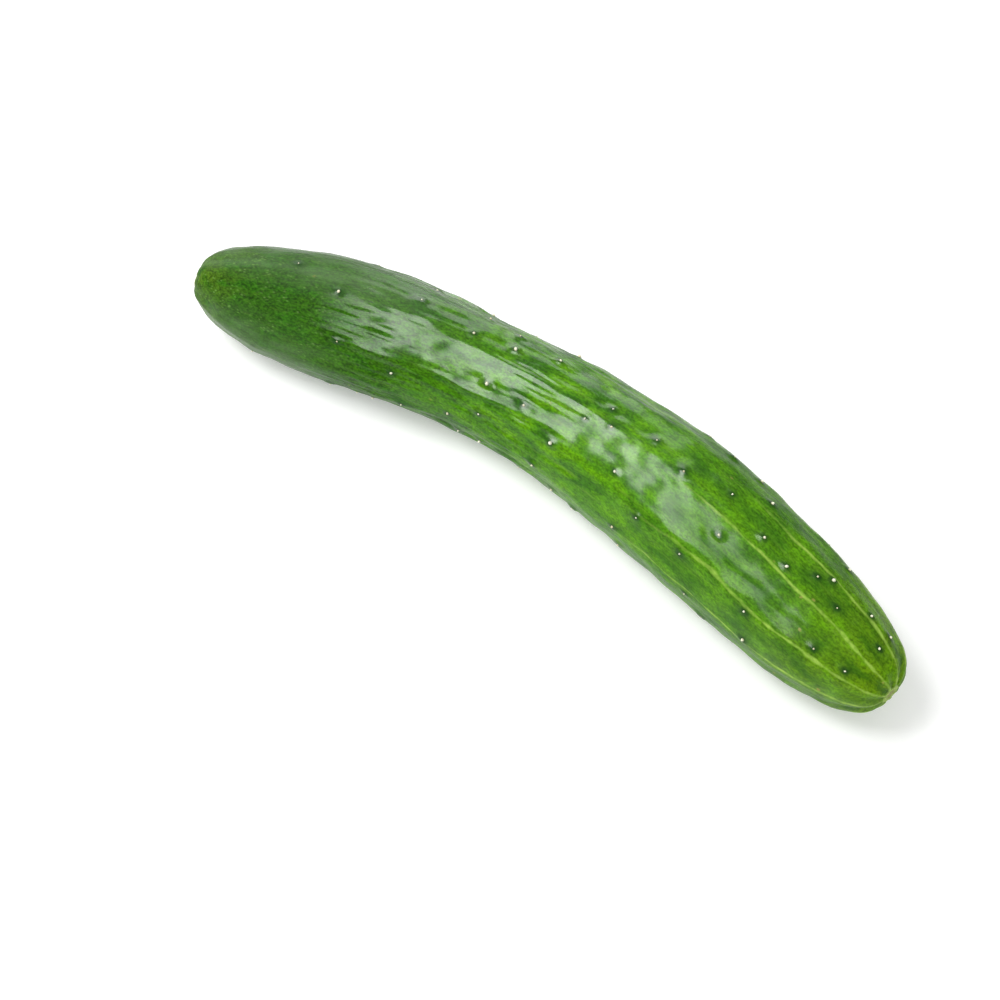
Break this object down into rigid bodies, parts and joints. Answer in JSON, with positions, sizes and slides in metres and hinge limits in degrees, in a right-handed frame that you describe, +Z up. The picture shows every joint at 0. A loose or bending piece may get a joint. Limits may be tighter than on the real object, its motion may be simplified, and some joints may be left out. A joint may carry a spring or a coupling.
{
  "type": "cucumber",
  "caption": "Whole fresh cucumber lying on its side, gently bent, with bumpy green skin, small pale spines and lighter streaks towards the blossom end.",
  "frame": {"origin": "centre of the fruit's footprint, on the surface that it lies on", "axes": "+X from the stem end to the blossom end, +Y towards the outer side of its bend, +Z up"},
  "size_m": [0.203, 0.0454, 0.033],
  "materials": {
    "skin": "waxy cucumber skin, dark green at the stem end and yellower towards the blossom end, satin gloss",
    "scar": "dry corky scar where the stem or the blossom sat, matt",
    "spine": "short blunt cream-white spine on a wart, matt"
  },
  "bodies": {
    "root": {"cucumber": "skin"}
  },
  "joints": []
}
